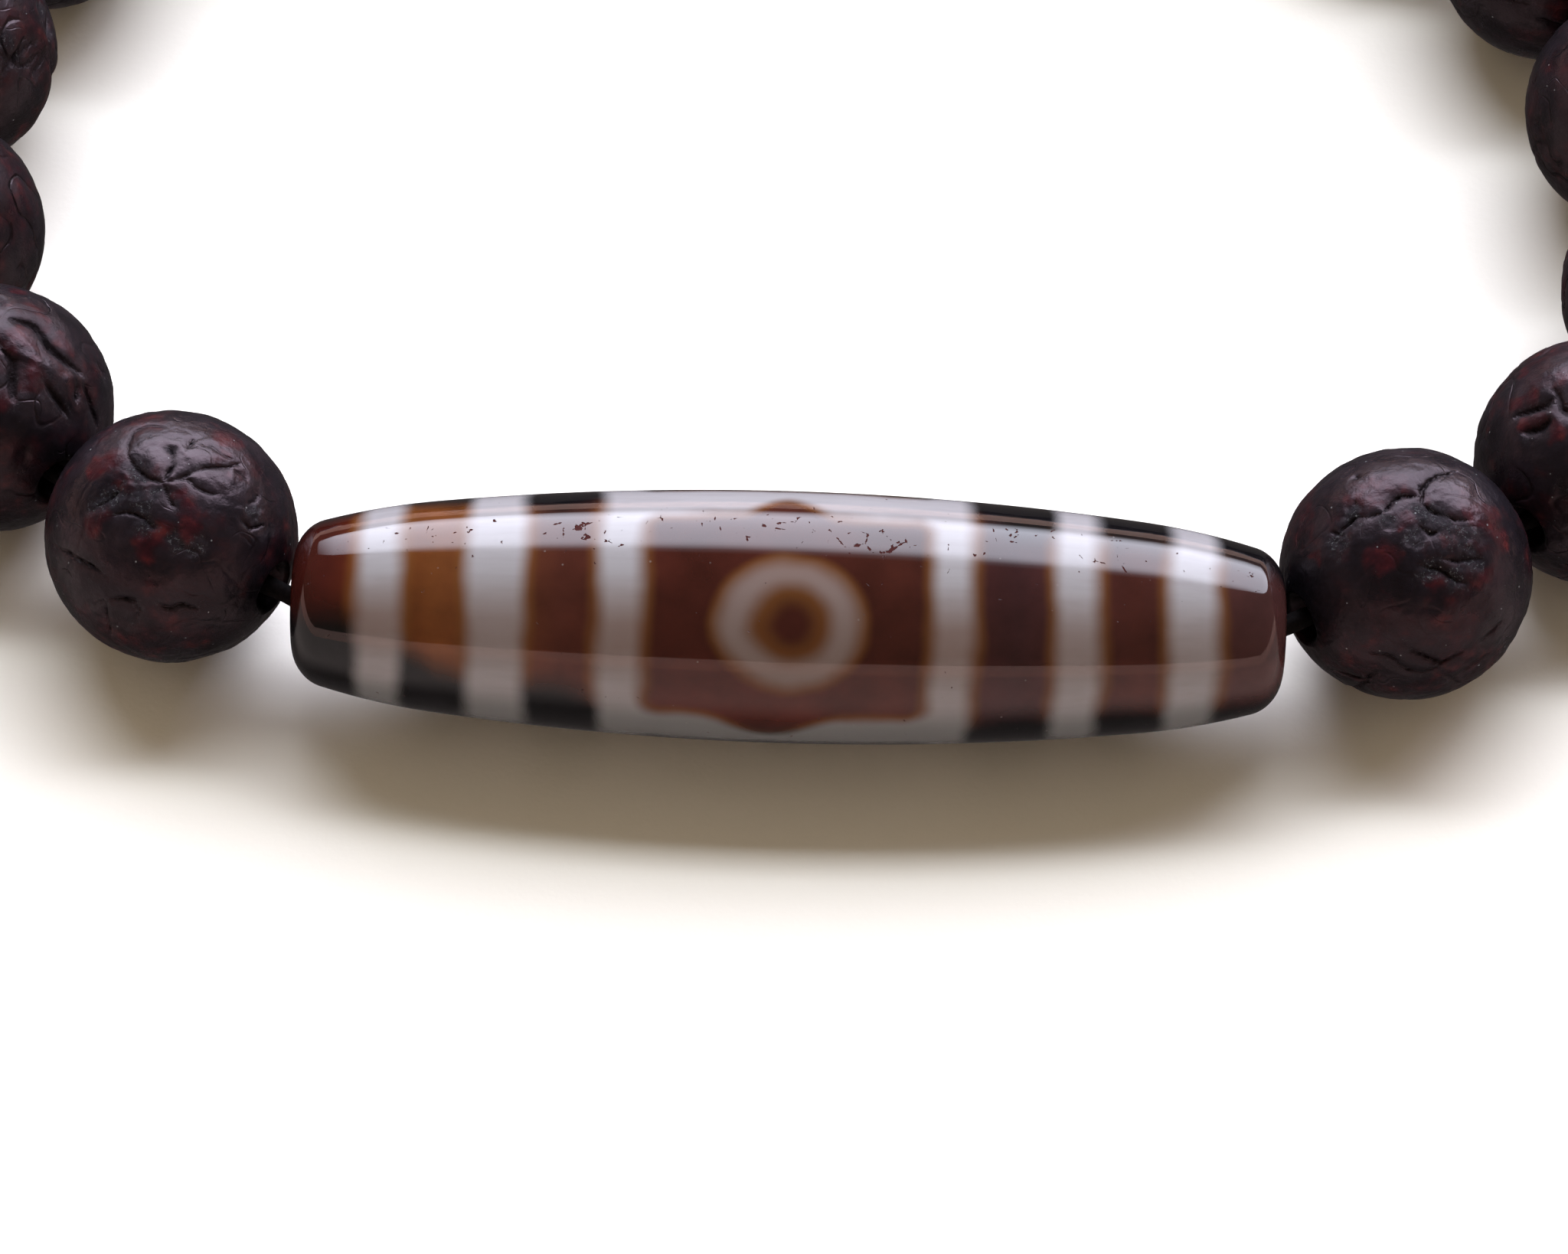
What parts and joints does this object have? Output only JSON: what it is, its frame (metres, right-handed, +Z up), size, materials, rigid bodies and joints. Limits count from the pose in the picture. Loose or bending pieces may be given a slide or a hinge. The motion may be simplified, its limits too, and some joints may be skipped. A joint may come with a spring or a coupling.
{
  "type": "dzi bead bracelet",
  "caption": "Strung bracelet: one long barrel-shaped banded agate bead with an eye pattern at the front, and round wrinkled seed beads closing the loop.",
  "frame": {"origin": "below the middle of the lying loop, on the surface that it rests on", "axes": "+X along the long bead, towards the right seen from the front; +Y from the long bead to the back of the loop; +Z up, away from the surface"},
  "size_m": [0.0834, 0.0684, 0.01],
  "materials": {
    "agate": "polished banded agate",
    "seed": "matte wrinkled seed shell",
    "cord": "satin elastic cord"
  },
  "bodies": {
    "root": {"dzi_bead": "agate", "seed_01": "seed", "seed_02": "seed", "seed_03": "seed", "seed_04": "seed", "seed_05": "seed", "seed_06": "seed", "seed_07": "seed", "seed_08": "seed", "seed_09": "seed", "seed_10": "seed", "seed_11": "seed", "seed_12": "seed", "seed_13": "seed", "seed_14": "seed", "seed_15": "seed", "seed_16": "seed", "seed_17": "seed", "elastic_cord": "cord"}
  },
  "joints": []
}
